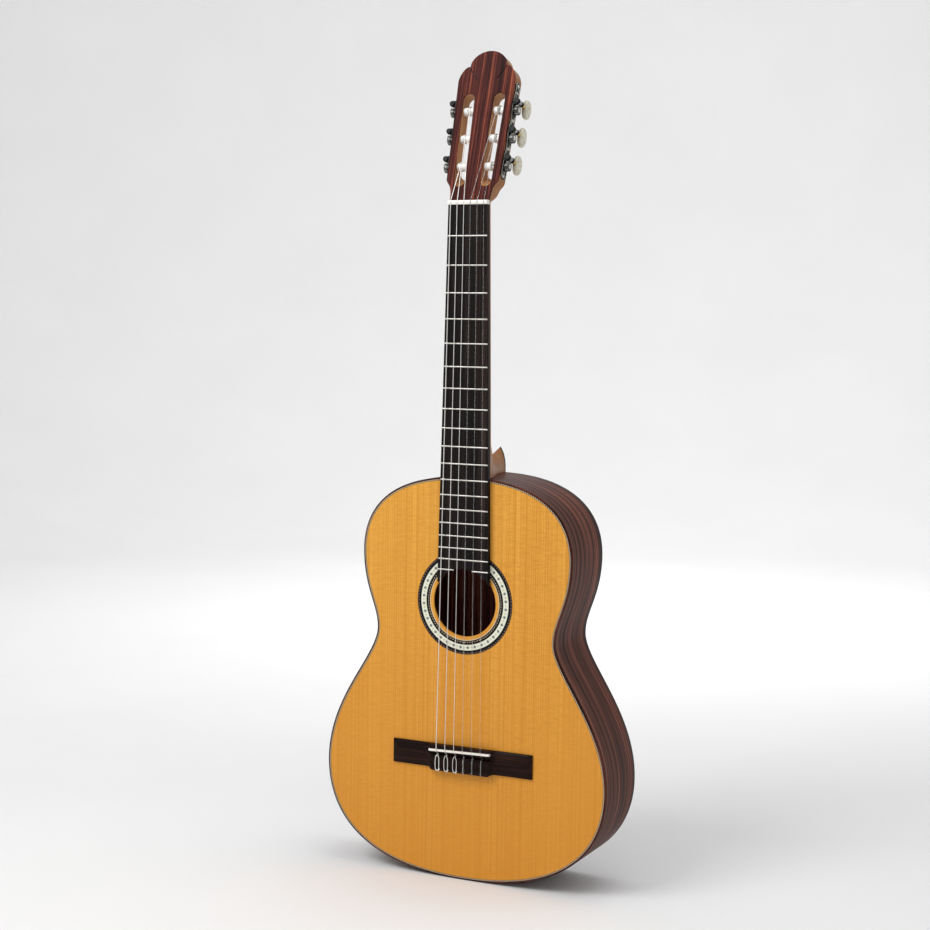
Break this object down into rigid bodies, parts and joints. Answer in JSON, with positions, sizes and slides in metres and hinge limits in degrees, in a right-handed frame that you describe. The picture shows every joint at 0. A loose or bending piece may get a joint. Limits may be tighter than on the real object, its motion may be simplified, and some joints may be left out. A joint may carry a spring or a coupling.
{
  "type": "classical guitar",
  "caption": "Full-size classical guitar: figure-of-eight soundbox with rosette and tie bridge, fretted neck and slotted head with geared tuners.",
  "frame": {"origin": "on the back of the neck, on its centre line and level with the edge of the nut, where a hanger's yoke cradles the guitar", "axes": "+Z along the neck towards the head, -Y out of the soundboard towards the listener, +X towards the treble strings"},
  "size_m": [0.3722, 0.1116, 0.9959],
  "materials": {
    "spruce_top": "gloss lacquer over fine straight grain",
    "rosewood": "satin lacquer, dark streaks along the grain",
    "head_rosewood": "satin, dark stripes",
    "binding": "satin",
    "dark_binding": "satin",
    "purfling": "short dark and light blocks, lacquered",
    "pale_wood": "bare, sanded",
    "neck_wood": "satin lacquer",
    "rosette_inlay": "inlaid rings and small flowers, lacquered",
    "bridge_wood": "open pored, oiled",
    "fingerboard_wood": "open pored, oiled",
    "bone": "polished",
    "roller_plastic": "polished",
    "pearl_plastic": "pearly swirl",
    "black_metal": "gloss black with engraved brass colour",
    "gear_metal": "machined",
    "nylon": "clear",
    "wound_string": "silver plated winding"
  },
  "bodies": {
    "guitar": {"soundboard": "spruce_top", "back": "rosewood", "side_bass": "rosewood", "side_treble": "rosewood", "binding_top": "binding", "binding_back": "dark_binding", "purfling_top": "purfling", "lining_top": "pale_wood", "lining_back": "pale_wood", "neck_block": "neck_wood", "tail_block": "neck_wood", "rosette": "rosette_inlay", "fan_bracing": "pale_wood", "harmonic_bar_upper": "pale_wood", "harmonic_bar_lower": "pale_wood", "back_brace_upper": "pale_wood", "back_brace_middle": "pale_wood", "back_brace_lower": "pale_wood", "back_centre_strip": "rosewood", "bridge": "bridge_wood", "saddle": "bone", "fingerboard": "fingerboard_wood", "nut": "bone", "neck": "neck_wood", "heel_cap": "rosewood", "head_veneer": "head_rosewood", "tuner_plate_bass": "black_metal", "tuner_plate_treble": "black_metal", "string_1": "nylon", "string_2": "nylon", "string_3": "nylon", "string_4": "wound_string", "string_5": "wound_string", "string_6": "wound_string"},
    "knob_1": {"worm_shaft_1": "black_metal", "button_1": "pearl_plastic"},
    "spool_1": {"gear_1": "gear_metal", "roller_1": "roller_plastic"},
    "knob_2": {"worm_shaft_2": "black_metal", "button_2": "pearl_plastic"},
    "spool_2": {"gear_2": "gear_metal", "roller_2": "roller_plastic"},
    "knob_3": {"worm_shaft_3": "black_metal", "button_3": "pearl_plastic"},
    "spool_3": {"gear_3": "gear_metal", "roller_3": "roller_plastic"},
    "knob_4": {"worm_shaft_4": "black_metal", "button_4": "pearl_plastic"},
    "spool_4": {"gear_4": "gear_metal", "roller_4": "roller_plastic"},
    "knob_5": {"worm_shaft_5": "black_metal", "button_5": "pearl_plastic"},
    "spool_5": {"gear_5": "gear_metal", "roller_5": "roller_plastic"},
    "knob_6": {"worm_shaft_6": "black_metal", "button_6": "pearl_plastic"},
    "spool_6": {"gear_6": "gear_metal", "roller_6": "roller_plastic"}
  },
  "joints": [
    {"name": "knob_turn_1", "type": "hinge", "parent": "guitar", "child": "knob_1", "pos_m": [0.04067, 0.00512, 0.05396], "axis": [0, 0.9598, -0.2807], "continuous": true},
    {"name": "spool_turn_1", "type": "hinge", "parent": "guitar", "child": "spool_1", "pos_m": [0.04002, 0.00246, 0.04486], "axis": [0.9996, -0.0076, -0.0259], "continuous": true},
    {"name": "knob_turn_2", "type": "hinge", "parent": "guitar", "child": "knob_2", "pos_m": [0.04162, 0.01494, 0.08754], "axis": [0, 0.9598, -0.2807], "continuous": true},
    {"name": "spool_turn_2", "type": "hinge", "parent": "guitar", "child": "spool_2", "pos_m": [0.04096, 0.01228, 0.07844], "axis": [0.9996, -0.0076, -0.0259], "continuous": true},
    {"name": "knob_turn_3", "type": "hinge", "parent": "guitar", "child": "knob_3", "pos_m": [0.04257, 0.02476, 0.12113], "axis": [0, 0.9598, -0.2807], "continuous": true},
    {"name": "spool_turn_3", "type": "hinge", "parent": "guitar", "child": "spool_3", "pos_m": [0.04191, 0.0221, 0.11202], "axis": [0.9996, -0.0076, -0.0259], "continuous": true},
    {"name": "knob_turn_4", "type": "hinge", "parent": "guitar", "child": "knob_4", "pos_m": [-0.04257, 0.02476, 0.12113], "axis": [0, 0.9598, -0.2807], "continuous": true},
    {"name": "spool_turn_4", "type": "hinge", "parent": "guitar", "child": "spool_4", "pos_m": [-0.04191, 0.0221, 0.11202], "axis": [0.9996, 0.0076, 0.0259], "continuous": true},
    {"name": "knob_turn_5", "type": "hinge", "parent": "guitar", "child": "knob_5", "pos_m": [-0.04162, 0.01494, 0.08754], "axis": [0, 0.9598, -0.2807], "continuous": true},
    {"name": "spool_turn_5", "type": "hinge", "parent": "guitar", "child": "spool_5", "pos_m": [-0.04096, 0.01228, 0.07844], "axis": [0.9996, 0.0076, 0.0259], "continuous": true},
    {"name": "knob_turn_6", "type": "hinge", "parent": "guitar", "child": "knob_6", "pos_m": [-0.04067, 0.00512, 0.05396], "axis": [0, 0.9598, -0.2807], "continuous": true},
    {"name": "spool_turn_6", "type": "hinge", "parent": "guitar", "child": "spool_6", "pos_m": [-0.04002, 0.00246, 0.04486], "axis": [0.9996, 0.0076, 0.0259], "continuous": true}
  ],
  "couplings": [
    {"joint": "spool_turn_1", "follows": "knob_turn_1", "ratio": 0.071429},
    {"joint": "spool_turn_2", "follows": "knob_turn_2", "ratio": 0.071429},
    {"joint": "spool_turn_3", "follows": "knob_turn_3", "ratio": 0.071429},
    {"joint": "spool_turn_4", "follows": "knob_turn_4", "ratio": 0.071429},
    {"joint": "spool_turn_5", "follows": "knob_turn_5", "ratio": 0.071429},
    {"joint": "spool_turn_6", "follows": "knob_turn_6", "ratio": 0.071429}
  ]
}
